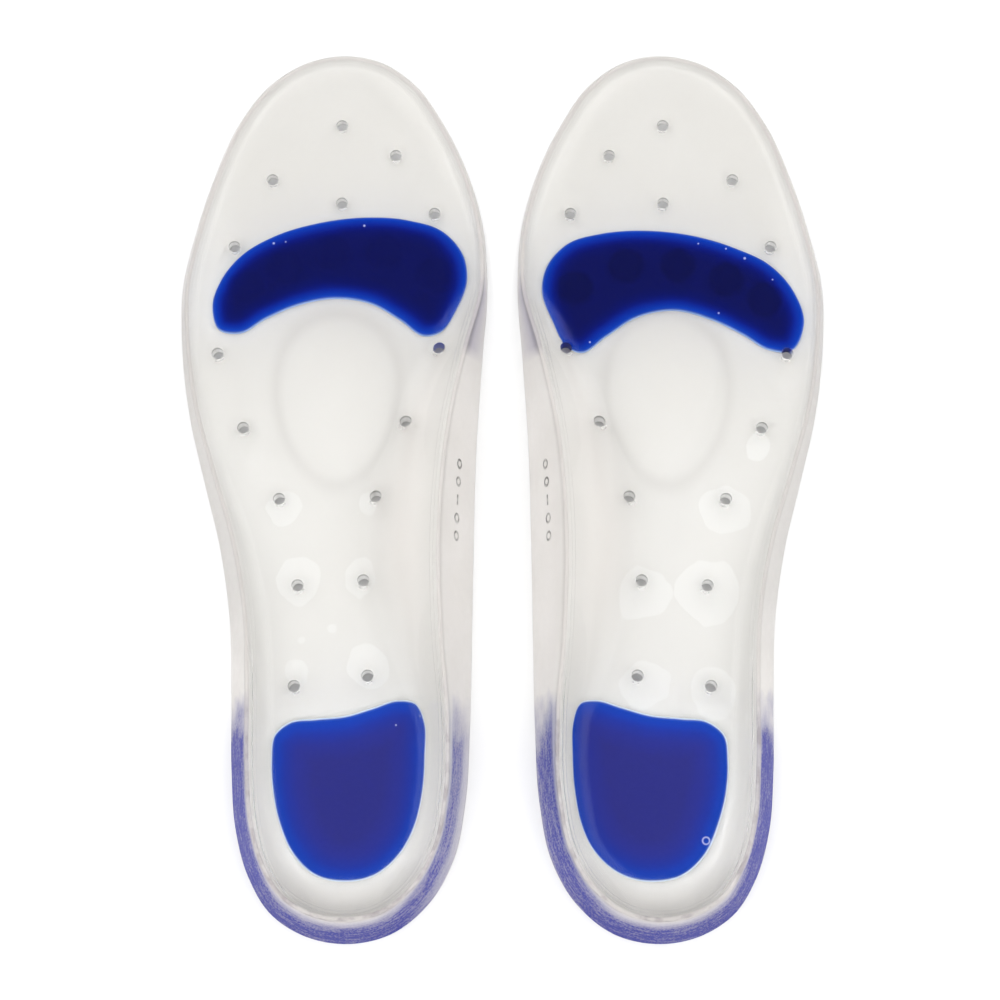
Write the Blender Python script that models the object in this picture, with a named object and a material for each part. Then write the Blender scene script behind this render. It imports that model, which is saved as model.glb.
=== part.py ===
"""Pair of cushioned gel insoles: two clear moulded gel bodies, each with a blue pad
under the ball of the foot and another under the heel, set flush into its underside.

+Y points to the toes, +Z up, and the soles rest on z = 0. The tables below are in
millimetres, for one foot: x is the distance outward from the plane between the two
insoles, y is the distance forward from the back of the heel.
"""
import bpy
import bmesh
import numpy as np
from math import radians

MM = 0.001
LENGTH = 285.5          # heel to toe tip
GAP = 0.3               # gap left between a pad and its pocket

# Points round the rim, starting at the back of the heel, going up the outer side
# of the foot to the toe tip and back down the inner (arch) side:
# x, y, rim height, how far the wall leans in from base to rim, width of the cove
# between the rim and the footbed.
RIM = [
    (48.0, 0.0, 16.0, 5.4, 10.0),
    (60.5, 2.6, 16.0, 5.4, 9.0),
    (70.3, 9.0, 16.0, 5.3, 7.5),
    (77.2, 20.0, 16.0, 5.2, 6.0),
    (81.4, 34.5, 15.8, 5.2, 5.5),
    (83.0, 52.0, 15.2, 5.2, 5.0),
    (83.5, 75.0, 14.2, 5.2, 5.0),
    (84.6, 100.0, 12.4, 5.0, 5.0),
    (88.0, 122.0, 10.6, 4.2, 4.5),
    (93.3, 143.0, 8.6, 3.2, 4.0),
    (98.6, 165.0, 6.6, 2.2, 4.0),
    (101.6, 189.0, 4.6, 1.5, 3.5),
    (101.7, 207.0, 3.8, 1.2, 3.0),
    (98.0, 225.0, 3.3, 1.0, 3.0),
    (92.7, 243.0, 2.9, 0.9, 3.0),
    (84.3, 263.0, 2.6, 0.8, 3.0),
    (75.5, 275.0, 2.4, 0.8, 3.0),
    (63.5, 283.0, 2.4, 0.8, 3.0),
    (51.0, LENGTH, 2.4, 0.8, 3.0),
    (38.8, 283.0, 2.4, 0.8, 3.0),
    (27.8, 275.0, 2.4, 0.8, 3.0),
    (19.6, 263.0, 2.6, 0.8, 3.0),
    (10.4, 243.0, 2.9, 0.8, 3.0),
    (6.0, 226.0, 3.6, 0.8, 3.0),
    (4.8, 208.0, 5.6, 1.0, 4.5),
    (6.4, 183.0, 13.0, 4.8, 8.5),
    (8.2, 155.0, 20.0, 8.2, 13.5),
    (9.0, 125.0, 22.5, 9.8, 17.0),
    (9.5, 92.0, 20.5, 8.6, 11.0),
    (10.0, 66.0, 18.0, 6.0, 5.5),
    (11.4, 42.0, 16.8, 5.2, 5.5),
    (14.8, 25.5, 16.3, 5.2, 6.0),
    (22.0, 12.5, 16.0, 5.3, 7.5),
    (34.0, 2.8, 16.0, 5.4, 9.0),
]
TOE_ROW = 18            # the row of RIM at the toe tip
LIP = 1.3               # width of the rounded rim
COVE_SOFTNESS = 0.5     # share of the cove width that rounds into the footbed

# Footbed thickness along the foot: y, thickness
FOOTBED = [
    (0.0, 7.4),
    (60.0, 7.0),
    (105.0, 7.4),
    (140.0, 6.8),
    (175.0, 5.6),
    (210.0, 4.9),
    (250.0, 3.8),
    (LENGTH, 3.0),
]

# Raised oval behind the ball of the foot
DOME_CENTRE = (51.8, 169.6)
DOME_HALF_WIDTH = 19.0
DOME_HALF_LENGTH = 26.5
DOME_EGG = 0.16         # how much wider it is at the toe end
DOME_HEIGHT = 1.8

VENT_RADIUS = 1.85
VENTS = [
    (51.6, 260.6), (34.2, 250.4), (73.6, 242.1), (51.3, 234.2),
    (21.7, 230.7), (85.3, 219.5), (89.8, 184.0), (20.0, 185.4),
    (81.2, 159.7), (30.3, 161.3), (69.5, 136.7), (39.4, 137.2),
    (63.3, 109.2), (43.0, 110.7), (63.9, 77.8), (41.4, 81.0),
]

# Outlines of the blue pads under the balls of the feet. The right one's two tails are
# longer, and each runs into a vent.
FOREFOOT_PADS = {
    "left": [
        (93.8, 199.5), (90.8, 209.5), (84.0, 217.4), (73.0, 223.7), (60.0, 227.7),
        (45.0, 229.6), (31.0, 228.7), (20.0, 225.0), (13.6, 217.5), (12.1, 208.5),
        (15.0, 199.0), (19.6, 191.8), (25.0, 190.6), (33.0, 195.9), (42.0, 201.2),
        (54.0, 203.1), (66.0, 200.8), (76.0, 196.3), (84.5, 191.7), (91.2, 192.3),
    ],
    "right": [
        (94.5, 198.7), (91.3, 209.8), (84.3, 217.9), (73.0, 223.7), (60.0, 227.7),
        (45.0, 229.4), (31.0, 228.4), (20.0, 224.9), (13.6, 217.5), (11.9, 208.5),
        (14.6, 199.4), (18.7, 191.1), (23.4, 189.2), (32.0, 194.7), (41.5, 200.9),
        (54.0, 203.3), (66.0, 200.1), (76.0, 195.0), (83.5, 190.4), (90.4, 189.9),
    ],
}
FOREFOOT_THICKNESS = 2.2
DISC_RADIUS = 6.0       # round bosses on the pad's upper face
DISC_HEIGHT = 0.6
DISCS = [(82.3, 206.4), (70.4, 212.9), (55.1, 217.6), (38.6, 217.6), (22.3, 210.2)]

# Outline of the blue pad under the heel
HEEL_PAD = [
    (22.1, 57.0), (22.3, 67.0), (25.4, 72.2), (31.0, 73.3), (38.5, 71.2),
    (46.5, 68.9), (56.0, 68.0), (63.5, 66.8), (68.6, 62.6), (69.9, 55.0),
    (69.3, 46.0), (66.8, 36.0), (62.0, 26.8), (54.5, 20.4), (46.0, 18.9),
    (37.5, 21.0), (30.0, 27.2), (24.9, 36.5), (22.7, 46.5),
]
HEEL_THICKNESS = 3.4
PAD_EDGE = 0.5          # rounding of the pads' edges

# The pads are poured by hand, so each foot's sit a little differently: x, y shift
SHIFTS = {
    "left": {"forefoot": (-0.7, 0.0), "heel": (1.3, 0.0)},
    "right": {"forefoot": (0.7, -4.2), "heel": (-1.3, 0.0)},
}

RIM_POINTS = 84         # even: points round each loft ring
INNER_RINGS = (0.05, 0.11, 0.18, 0.27, 0.38, 0.52, 0.68, 0.86)
SPINE_ENDS = (36.0, LENGTH - 42.0)


def clear_scene():
    """Remove whatever the new file starts with."""
    for obj in list(bpy.data.objects):
        bpy.data.objects.remove(obj, do_unlink=True)


def new_collection(name):
    """Add a collection to the scene."""
    collection = bpy.data.collections.new(name)
    bpy.context.scene.collection.children.link(collection)
    return collection


def gel_material(name, colour, roughness, transmission):
    """Plain gel material."""
    material = bpy.data.materials.new(name)
    material.use_nodes = True
    shader = material.node_tree.nodes["Principled BSDF"]
    shader.inputs["Base Color"].default_value = (*colour, 1.0)
    shader.inputs["Roughness"].default_value = roughness
    shader.inputs["Metallic"].default_value = 0.0
    shader.inputs["Transmission Weight"].default_value = transmission
    return material


def clear_gel(side):
    """Material of a clear body."""
    return gel_material(side + "_clear_gel", (0.86, 0.85, 0.82), 0.25, 0.6)


def blue_gel(side, pad):
    """Material of a blue pad."""
    return gel_material(side + "_" + pad + "_blue_gel", (0.03, 0.06, 0.42), 0.3, 0.0)


def side_sign(side):
    """The left insole lies on the -X side."""
    return -1.0 if side == "left" else 1.0


def place(side, x, y, z, shift=(0.0, 0.0)):
    """Turn a table position in millimetres into scene metres."""
    scene_x = side_sign(side) * (x + shift[0]) * MM
    scene_y = (y + shift[1] - LENGTH / 2) * MM
    return (scene_x, scene_y, z * MM)


def cubic(before, after, slope_before, slope_after, t):
    """Cubic between two values with given end slopes, t from 0 to 1."""
    a = 2 * before - 2 * after + slope_before + slope_after
    b = -3 * before + 3 * after - 2 * slope_before - slope_after
    return ((a * t + b) * t + slope_before) * t + before


def closed_curve(rows, steps):
    """Smooth closed curve through rows, steps points per row."""
    rows = np.array(rows)
    ahead = np.roll(rows, -1, axis=0)
    span = np.hypot(*(ahead - rows)[:, :2].T)[:, None]
    rate = (ahead - rows) / span
    span_back = np.roll(span, 1, axis=0)
    slope = (np.roll(rate, 1, axis=0) * span + rate * span_back) / (span + span_back)
    pieces = []
    for t in np.arange(steps) / steps:
        pieces.append(cubic(rows, ahead, slope * span, np.roll(slope, -1, axis=0) * span, t))
    return np.stack(pieces, axis=1).reshape(-1, rows.shape[1])


def even_points(curve, count):
    """Resample an open run of curve at equal lengths, leaving out its last point."""
    length = np.hypot(*np.diff(curve[:, :2], axis=0).T)
    along = np.concatenate([[0.0], np.cumsum(length)])
    wanted = np.linspace(0.0, along[-1], count + 1)[:-1]
    columns = [np.interp(wanted, along, curve[:, i]) for i in range(curve.shape[1])]
    return np.stack(columns, axis=1)


def rim_loop():
    """Rim stations, evenly spaced: heel to toe up the outer side, then back."""
    steps = 24
    curve = closed_curve(RIM, steps)
    curve = np.vstack([curve, curve[:1]])
    toe = TOE_ROW * steps
    outer = even_points(curve[:toe + 1], RIM_POINTS // 2)
    inner = even_points(curve[toe:], RIM_POINTS // 2)
    return np.vstack([outer, inner])


def smooth_profile(rows, position):
    """Smooth curve through (position, value) rows."""
    rows = np.array(rows)
    slope = np.gradient(rows[:, 1], rows[:, 0])
    i = np.clip(np.searchsorted(rows[:, 0], position) - 1, 0, len(rows) - 2)
    span = rows[i + 1, 0] - rows[i, 0]
    t = np.clip((position - rows[i, 0]) / span, 0.0, 1.0)
    return cubic(rows[i, 1], rows[i + 1, 1], slope[i] * span, slope[i + 1] * span, t)


def dome(x, y):
    """Height of the raised oval above the footbed."""
    v = (y - DOME_CENTRE[1]) / DOME_HALF_LENGTH
    u = (x - DOME_CENTRE[0]) / (DOME_HALF_WIDTH * (1.0 + DOME_EGG * v))
    inside = np.clip(1.0 - u * u - v * v, 0.0, 1.0)
    return DOME_HEIGHT * inside ** 0.8


def cove(share):
    """Height left at a share of the cove width: straight slope rounding into the bed."""
    soft = COVE_SOFTNESS
    rounded = np.clip(1.0 + soft - share, 0.0, 2 * soft) ** 2 / (4 * soft)
    return np.where(share < 1.0 - soft, 1.0 - share, rounded)


def inward(loop):
    """Unit vectors pointing in from a loop that starts at the heel and runs clockwise or not."""
    run = np.roll(loop, -1, axis=0) - np.roll(loop, 1, axis=0)
    normal = np.stack([-run[:, 1], run[:, 0]], axis=1)
    normal /= np.hypot(*normal.T)[:, None]
    to_middle = loop.mean(axis=0) - loop
    return normal * np.sign(np.sum(normal * to_middle))


def body_rings():
    """Rings of one gel body, from its flat base up the wall and in over the footbed."""
    loop = rim_loop()
    base = loop[:, :2]
    height = loop[:, 2]
    lean = loop[:, 3]
    width = loop[:, 4]
    normal = inward(base)

    def wall(share_in, extra_in, share_up, drop):
        ring = base + normal * (lean * share_in + extra_in)[:, None]
        return np.column_stack([ring, height * share_up - drop])

    rings = [
        wall(0.0, 0.0, 0.0, 0.0),
        wall(0.42, 0.0, 0.5, 0.0),
        wall(1.0, 0.0, 1.0, 0.35),
        wall(1.0, 0.45 * LIP, 1.0, 0.0),
        wall(1.0, LIP, 1.0, 0.15),
    ]
    crest = rings[-1][:, :2]
    mirrored = np.roll(crest[::-1], 1, axis=0)
    spine = (crest + mirrored) / 2
    order = np.argsort(spine[:, 1])
    spine_y = np.clip(spine[:, 1], *SPINE_ENDS)
    spine_x = np.interp(spine_y, spine[order, 1], spine[order, 0])
    spine = np.column_stack([spine_x, spine_y])
    for share in INNER_RINGS:
        ring = crest + (spine - crest) * share
        distance = np.hypot(*(ring - crest).T)
        bed = smooth_profile(FOOTBED, ring[:, 1])
        rise = (height - 0.15 - bed) * cove(distance / width)
        z = bed + rise + dome(ring[:, 0], ring[:, 1])
        rings.append(np.column_stack([ring, z]))
    return rings


def gel_body(side, collection):
    """One clear moulding, before its vents and pockets are cut."""
    rings = body_rings()
    mesh = bpy.data.meshes.new(side + "_gel_body")
    shape = bmesh.new()
    verts = [[shape.verts.new(place(side, *point)) for point in ring] for ring in rings]
    count = RIM_POINTS
    for low, high in zip(verts, verts[1:]):
        for i in range(count):
            j = (i + 1) % count
            shape.faces.new((low[i], low[j], high[j], high[i]))
    top = verts[-1]
    half = count // 2
    shape.faces.new((top[0], top[1], top[count - 1]))
    shape.faces.new((top[half], top[half + 1], top[half - 1]))
    for i in range(1, half - 1):
        shape.faces.new((top[i], top[i + 1], top[count - i - 1], top[count - i]))
    shape.faces.new(verts[0])
    bmesh.ops.recalc_face_normals(shape, faces=shape.faces)
    shape.to_mesh(mesh)
    shape.free()
    body = bpy.data.objects.new(side + "_gel_body", mesh)
    collection.objects.link(body)
    body.data.materials.append(clear_gel(side))
    return body


def slab(name, side, points, shift, low, high, grow, edge, collection):
    """Flat slab with a smooth outline and rounded edges, made from a filled curve."""
    curve = bpy.data.curves.new(name + "_outline", "CURVE")
    curve.dimensions = "2D"
    curve.fill_mode = "BOTH"
    curve.resolution_u = 2
    curve.extrude = ((high - low) / 2 - edge) * MM
    curve.bevel_depth = edge * MM
    curve.bevel_resolution = 1
    curve.offset = (grow - edge) * MM
    spline = curve.splines.new("BEZIER")
    spline.bezier_points.add(len(points) - 1)
    spline.use_cyclic_u = True
    for knot, (x, y) in zip(spline.bezier_points, points):
        knot.co = place(side, x, y, 0.0, shift)
        knot.handle_left_type = "AUTO"
        knot.handle_right_type = "AUTO"
    guide = bpy.data.objects.new(name + "_outline", curve)
    guide.location.z = (low + high) / 2 * MM
    collection.objects.link(guide)
    bpy.context.view_layer.update()
    evaluated = guide.evaluated_get(bpy.context.evaluated_depsgraph_get())
    mesh = bpy.data.meshes.new_from_object(evaluated)
    mesh.name = name
    mesh.transform(guide.matrix_world)
    bpy.data.objects.remove(guide, do_unlink=True)
    shape = bmesh.new()
    shape.from_mesh(mesh)
    bmesh.ops.remove_doubles(shape, verts=shape.verts, dist=0.00001)
    bmesh.ops.recalc_face_normals(shape, faces=shape.faces)
    shape.to_mesh(mesh)
    shape.free()
    mesh.materials.clear()
    result = bpy.data.objects.new(name, mesh)
    collection.objects.link(result)
    return result


def pillars(name, side, points, shift, radius, low, high, sides, collection):
    """Upright cylinders that stand apart from each other, as one object."""
    shape = bmesh.new()
    for x, y in points:
        centre = place(side, x, y, (low + high) / 2, shift)
        made = bmesh.ops.create_cone(shape, cap_ends=True, segments=sides,
                                     radius1=radius * MM, radius2=radius * MM,
                                     depth=(high - low) * MM)
        bmesh.ops.translate(shape, verts=made["verts"], vec=centre)
    mesh = bpy.data.meshes.new(name)
    shape.to_mesh(mesh)
    shape.free()
    result = bpy.data.objects.new(name, mesh)
    collection.objects.link(result)
    return result


def hide_cutter(obj):
    """Mark a cutter as a guide."""
    obj.hide_render = True
    obj.display_type = "WIRE"


def boolean(obj, cutter, operation):
    """Cut or join one object with another."""
    modifier = obj.modifiers.new(cutter.name, "BOOLEAN")
    modifier.object = cutter
    modifier.operation = operation
    modifier.solver = "EXACT"
    hide_cutter(cutter)


def finish(obj):
    """Smooth shading with crisp edges."""
    obj.data.shade_smooth()
    obj.data.set_sharp_from_angle(angle=radians(35))


def insole(side, parts, cutters):
    """One clear body with its two blue pads."""
    body = gel_body(side, parts)
    shift = SHIFTS[side]["forefoot"]
    disc_top = FOREFOOT_THICKNESS + DISC_HEIGHT

    vents = pillars(side + "_vents", side, VENTS, (0.0, 0.0), VENT_RADIUS, -1.0, 12.0,
                    12, cutters)
    forefoot = slab(side + "_forefoot_pad", side, FOREFOOT_PADS[side], shift,
                    0.0, FOREFOOT_THICKNESS, 0.0, PAD_EDGE, parts)
    forefoot.data.materials.append(blue_gel(side, "forefoot"))
    discs = pillars(side + "_discs", side, DISCS, shift, DISC_RADIUS,
                    FOREFOOT_THICKNESS - 0.6, disc_top, 20, cutters)
    boolean(forefoot, discs, "UNION")
    boolean(forefoot, vents, "DIFFERENCE")

    heel = slab(side + "_heel_pad", side, HEEL_PAD, SHIFTS[side]["heel"],
                0.0, HEEL_THICKNESS, 0.0, PAD_EDGE, parts)
    heel.data.materials.append(blue_gel(side, "heel"))

    forefoot_pocket = slab(side + "_forefoot_pocket", side, FOREFOOT_PADS[side], shift,
                           -2.0, FOREFOOT_THICKNESS + GAP, GAP, PAD_EDGE, cutters)
    disc_pocket = pillars(side + "_disc_pocket", side, DISCS, shift, DISC_RADIUS + GAP,
                          FOREFOOT_THICKNESS - 0.6, disc_top + GAP, 20, cutters)
    heel_pocket = slab(side + "_heel_pocket", side, HEEL_PAD, SHIFTS[side]["heel"],
                       -2.0, HEEL_THICKNESS + GAP, GAP, PAD_EDGE, cutters)
    boolean(body, forefoot_pocket, "DIFFERENCE")
    boolean(body, disc_pocket, "DIFFERENCE")
    boolean(body, heel_pocket, "DIFFERENCE")
    boolean(body, vents, "DIFFERENCE")

    for obj in (body, forefoot, heel):
        finish(obj)


def main():
    """Build both insoles."""
    clear_scene()
    parts = new_collection("cushioned_insoles")
    cutters = new_collection("cutters")
    for side in ("left", "right"):
        insole(side, parts, cutters)


main()
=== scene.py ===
from math import pi, radians

import bmesh
import bpy
import numpy as np
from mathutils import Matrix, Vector
from mathutils.geometry import delaunay_2d_cdt


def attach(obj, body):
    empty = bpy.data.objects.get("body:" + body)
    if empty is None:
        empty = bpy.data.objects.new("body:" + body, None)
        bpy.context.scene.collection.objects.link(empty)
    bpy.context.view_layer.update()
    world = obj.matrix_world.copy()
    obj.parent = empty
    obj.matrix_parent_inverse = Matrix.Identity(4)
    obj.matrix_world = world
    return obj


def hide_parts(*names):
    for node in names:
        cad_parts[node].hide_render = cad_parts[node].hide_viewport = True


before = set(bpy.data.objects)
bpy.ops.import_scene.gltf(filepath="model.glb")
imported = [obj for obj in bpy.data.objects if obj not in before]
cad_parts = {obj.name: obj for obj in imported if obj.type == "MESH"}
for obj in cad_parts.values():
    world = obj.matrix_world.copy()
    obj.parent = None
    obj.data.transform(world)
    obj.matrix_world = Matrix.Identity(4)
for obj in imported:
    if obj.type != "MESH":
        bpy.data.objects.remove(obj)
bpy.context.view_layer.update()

# Lengths in the tables are millimetres for one foot: x outward from the plane between
# the insoles, y forward from the back of the heel.
MM = 0.001
LENGTH = 285.5

# Rim stations: x, y, rim height, lean of the wall from base to rim, cove width
RIM = [
    (48.0, 0.0, 16.0, 5.4, 10.0),
    (60.5, 2.6, 16.0, 5.4, 9.0),
    (70.3, 9.0, 16.0, 5.3, 7.5),
    (77.2, 20.0, 16.0, 5.2, 6.0),
    (81.4, 34.5, 15.8, 5.2, 5.5),
    (83.0, 52.0, 15.2, 5.2, 5.0),
    (83.5, 75.0, 14.2, 5.2, 5.0),
    (84.6, 100.0, 12.4, 5.0, 5.0),
    (88.0, 122.0, 10.6, 4.2, 4.5),
    (93.3, 143.0, 8.6, 3.2, 4.0),
    (98.6, 165.0, 6.6, 2.2, 4.0),
    (101.6, 189.0, 4.6, 1.5, 3.5),
    (101.7, 207.0, 3.8, 1.2, 3.0),
    (98.0, 225.0, 3.3, 1.0, 3.0),
    (92.7, 243.0, 2.9, 0.9, 3.0),
    (84.3, 263.0, 2.6, 0.8, 3.0),
    (75.5, 275.0, 2.4, 0.8, 3.0),
    (63.5, 283.0, 2.4, 0.8, 3.0),
    (51.0, LENGTH, 2.4, 0.8, 3.0),
    (38.8, 283.0, 2.4, 0.8, 3.0),
    (27.8, 275.0, 2.4, 0.8, 3.0),
    (19.6, 263.0, 2.6, 0.8, 3.0),
    (10.4, 243.0, 2.9, 0.8, 3.0),
    (6.0, 226.0, 3.6, 0.8, 3.0),
    (4.8, 208.0, 5.6, 1.0, 4.5),
    (6.4, 183.0, 13.0, 4.8, 8.5),
    (8.2, 155.0, 20.0, 8.2, 13.5),
    (9.0, 125.0, 22.5, 9.8, 17.0),
    (9.5, 92.0, 20.5, 8.6, 11.0),
    (10.0, 66.0, 18.0, 6.0, 5.5),
    (11.4, 42.0, 16.8, 5.2, 5.5),
    (14.8, 25.5, 16.3, 5.2, 6.0),
    (22.0, 12.5, 16.0, 5.3, 7.5),
    (34.0, 2.8, 16.0, 5.4, 9.0),
]
TOE_ROW = 18            # the station at the toe
# Rounded lip, from its crest out to the wall: distance in from the wall, drop below the rim
LIP = [
    (1.30, 0.15), (1.12, 0.07), (0.90, 0.02), (0.65, 0.0), (0.42, 0.02),
    (0.24, 0.09), (0.10, 0.20), (0.02, 0.34), (0.0, 0.50),
]
# Rounded lower edge of the wall: distance in, height
BASE_EDGE = [(0.0, 0.25), (0.08, 0.07), (0.25, 0.0)]
WALL_TOP = 0.93         # share of the wall's height at its highest ring
WALL_RINGS = 13
WALL_BOW = 0.16         # how far the lean gathers toward the rim
COVE_SOFTNESS = 0.24
# Bed height down the middle: y, height
FOOTBED = [
    (0.0, 7.4), (60.0, 7.0), (105.0, 7.4), (140.0, 6.8),
    (175.0, 5.6), (210.0, 4.9), (250.0, 3.8), (LENGTH, 3.0),
]
DOME_CENTRE = (51.6, 168.9)
DOME_HALF_WIDTH = 19.5
DOME_HALF_LENGTH = 28.6
DOME_EGG = 0.16
DOME_HEIGHT = 1.8

VENT_RADIUS = 1.85
VENT_DIP = 0.32         # the footbed turns down into each vent
VENT_DIP_WIDTH = 0.45
VENTS = [
    (51.6, 260.6), (34.2, 250.4), (73.6, 242.1), (51.3, 234.2),
    (21.7, 230.7), (85.3, 219.5), (89.8, 184.0), (20.0, 185.4),
    (81.2, 159.7), (30.3, 161.3), (69.5, 136.7), (39.4, 137.2),
    (63.3, 109.2), (43.0, 110.7), (63.9, 77.8), (41.4, 81.0),
]
FOREFOOT_PADS = {
    "left": [
        (92.5, 199.8), (89.7, 209.3), (83.4, 217.2), (73.0, 223.5), (60.0, 227.6),
        (45.0, 229.6), (31.0, 228.7), (20.0, 225.0), (13.6, 217.5), (12.1, 208.5),
        (15.0, 199.0), (19.6, 191.8), (25.0, 190.6), (33.0, 195.9), (42.0, 201.2),
        (54.0, 203.1), (66.0, 200.8), (76.0, 196.3), (84.2, 191.6), (90.2, 192.6),
    ],
    "right": [
        (94.5, 198.7), (91.3, 209.8), (84.3, 217.9), (73.0, 223.7), (60.0, 227.7),
        (45.0, 229.4), (31.0, 228.4), (20.0, 224.9), (13.6, 217.5), (11.9, 208.5),
        (14.6, 199.4), (18.7, 191.1), (23.4, 189.2), (32.0, 194.7), (41.5, 200.9),
        (54.0, 203.3), (66.0, 200.1), (76.0, 195.0), (83.5, 190.4), (90.4, 189.9),
    ],
}
FOREFOOT_THICKNESS = 2.2
DISC_RADIUS = 6.0        # round bosses on the forefoot casting
DISC_HEIGHT = 0.6
DISCS = [(82.3, 206.4), (70.4, 212.9), (55.1, 217.6), (38.6, 217.6), (22.3, 210.2)]
HEEL_PADS = {
    "left": [
        (21.5, 57.0), (21.6, 67.2), (24.6, 72.8), (30.6, 73.8), (38.5, 71.4),
        (46.5, 69.0), (56.0, 68.0), (63.8, 67.0), (68.8, 62.9), (69.9, 55.0),
        (69.3, 46.0), (66.9, 35.8), (62.2, 26.2), (54.6, 19.5), (45.8, 17.9),
        (36.9, 20.0), (29.4, 26.5), (24.4, 36.2), (22.1, 46.4),
    ],
    "right": [
        (20.2, 57.0), (20.3, 67.3), (23.2, 73.0), (29.8, 73.9), (38.0, 71.6),
        (46.5, 69.2), (56.0, 68.2), (64.1, 67.2), (69.3, 63.0), (70.5, 55.0),
        (69.9, 46.0), (67.2, 35.8), (62.5, 26.0), (54.8, 19.4), (45.5, 17.9),
        (36.5, 20.0), (28.3, 26.5), (23.1, 36.2), (20.9, 46.4),
    ],
}
HEEL_THICKNESS = 3.4
# Where each casting was poured, measured from its outline above: outward, forward
SHIFTS = {
    "left": {"forefoot": (-0.7, 0.0), "heel": (1.3, 0.0)},
    "right": {"forefoot": (0.7, -4.2), "heel": (-1.3, 0.0)},
}
PAD_FLOOR = 0.15        # clear skin left under a pad
PAD_SKIRT = 0.25        # pale feathered edge that runs out past a pad's outline
PAD_ROUND = 0.8         # how far in the rounded edge reaches
PAD_EDGE_SHARE = 0.45   # share of the thickness at the outline
PAD_HOLE_GAP = 0.15     # clear gel between a casting and a vent
PAD_CUT_INSET = 1.2     # a cut edge keeps the tone found this far in

# Fineness of the surfaces
RIM_POINTS = 360
RING_OFFSETS = (0.6, 1.3, 2.1, 3.1, 4.3, 5.8, 7.6, 9.8)
FOOTBED_PITCH = 2.1
DOME_SHARES = (0.78, 0.86, 0.93, 0.97, 1.0, 1.04)
VENT_SIDES = 32
VENT_OFFSETS = (0.1, 0.22, 0.45, 0.8, 1.4, 2.0)
VENT_CLEARANCE = 4.3
PAD_OFFSETS = (0.12, 0.3, 0.55, 0.9, 1.4, 2.1, 3.0)
PAD_PITCH = 1.3
WELD_REACH = 2e-6       # metres
BODY_SHARP = radians(40)
PAD_SHARP = radians(50)

# Material slots of the clear body
FOOTBED_SLOT, WALL_SLOT, SOLE_SLOT, SKIN_SLOT, VENT_SLOT = range(5)
# Point fields of the clear body, with the value where a surface gives none: distance in
# from the crest, share of the cove's rise, share of the oval's size, share of the height
BODY_FIELDS = {"rim_mm": 0.0, "rise": 1.0, "oval": 9.0, "height": 1.0}


# ---------------------------------------------------------------- curves and fields

def cubic(before, after, slope_before, slope_after, t):
    """Cubic between two values with given end slopes, t from 0 to 1."""
    a = 2 * before - 2 * after + slope_before + slope_after
    b = -3 * before + 3 * after - 2 * slope_before - slope_after
    return ((a * t + b) * t + slope_before) * t + before


def closed_curve(rows, steps):
    """Smooth closed curve through rows, steps points per row."""
    rows = np.array(rows, float)
    ahead = np.roll(rows, -1, axis=0)
    span = np.hypot(*(ahead - rows)[:, :2].T)[:, None]
    rate = (ahead - rows) / span
    span_back = np.roll(span, 1, axis=0)
    slope = (np.roll(rate, 1, axis=0) * span + rate * span_back) / (span + span_back)
    next_slope = np.roll(slope, -1, axis=0)
    pieces = [cubic(rows, ahead, slope * span, next_slope * span, t)
              for t in np.arange(steps) / steps]
    return np.stack(pieces, axis=1).reshape(-1, rows.shape[1])


def even_points(curve, count):
    """Resample an open run of curve at equal lengths, leaving out its last point."""
    length = np.hypot(*np.diff(curve[:, :2], axis=0).T)
    along = np.concatenate([[0.0], np.cumsum(length)])
    wanted = np.linspace(0.0, along[-1], count + 1)[:-1]
    return np.stack([np.interp(wanted, along, column) for column in curve.T], axis=1)


def rim_loop():
    """Rim stations, evenly spaced: heel to toe up the outer side, then back."""
    steps = 40
    curve = closed_curve(RIM, steps)
    curve = np.vstack([curve, curve[:1]])
    toe = TOE_ROW * steps
    outer = even_points(curve[:toe + 1], RIM_POINTS // 2)
    inner = even_points(curve[toe:], RIM_POINTS // 2)
    return np.vstack([outer, inner])


def smooth_profile(rows, position):
    """Smooth curve through (position, value) rows."""
    rows = np.array(rows)
    slope = np.gradient(rows[:, 1], rows[:, 0])
    i = np.clip(np.searchsorted(rows[:, 0], position) - 1, 0, len(rows) - 2)
    span = rows[i + 1, 0] - rows[i, 0]
    t = np.clip((position - rows[i, 0]) / span, 0.0, 1.0)
    return cubic(rows[i, 1], rows[i + 1, 1], slope[i] * span, slope[i + 1] * span, t)


def inward(loop):
    """Unit vectors pointing in from a closed loop."""
    run = np.roll(loop, -1, axis=0) - np.roll(loop, 1, axis=0)
    normal = np.stack([-run[:, 1], run[:, 0]], axis=1)
    normal /= np.hypot(*normal.T)[:, None]
    turn = np.sum(loop[:, 0] * np.roll(loop[:, 1], -1) - loop[:, 1] * np.roll(loop[:, 0], -1))
    return normal * np.sign(turn)


def inside(points, loop):
    """True for each point that a closed loop goes round."""
    x, y = points[:, 0:1], points[:, 1:2]
    ax, ay = loop[:, 0], loop[:, 1]
    bx, by = np.roll(ax, -1), np.roll(ay, -1)
    crosses = (ay > y) != (by > y)
    at = (bx - ax) * (y - ay) / np.where(by == ay, 1e-9, by - ay) + ax
    return (np.sum(crosses & (x < at), axis=1) % 2) == 1


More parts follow.
